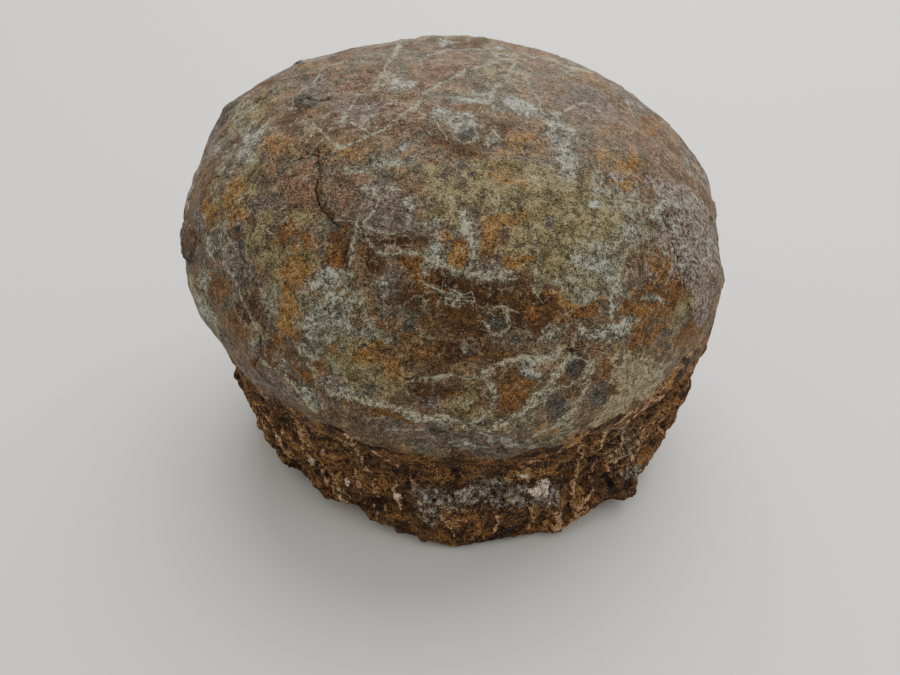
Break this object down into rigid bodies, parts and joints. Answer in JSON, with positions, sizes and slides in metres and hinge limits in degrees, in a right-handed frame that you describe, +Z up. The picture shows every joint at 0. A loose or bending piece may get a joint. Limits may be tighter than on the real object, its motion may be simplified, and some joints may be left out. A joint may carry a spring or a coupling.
{
  "type": "fossil dinosaur egg",
  "caption": "Broad fossil dinosaur egg flattened by burial, seated in a rough pedestal of the rock matrix around its underside and standing on a small flat foot.",
  "frame": {"origin": "middle of the object's outline on the ground plane, on the flat foot that it stands on", "axes": "+Z up, out of the egg's crown; -Y towards the front, where the matrix has its low bench; +X to the right of that front, the egg's widest direction"},
  "size_m": [0.1667, 0.1622, 0.12],
  "materials": {
    "fossil_shell": "worn, half-matt fossil eggshell, reddish brown mottled with grey-green and rust, crossed by fine pale veins",
    "rock_matrix": "matt, coarse and pitted rusty brown siltstone with pale streaks and specks"
  },
  "bodies": {
    "root": {"egg": "fossil_shell", "matrix": "rock_matrix"}
  },
  "joints": []
}
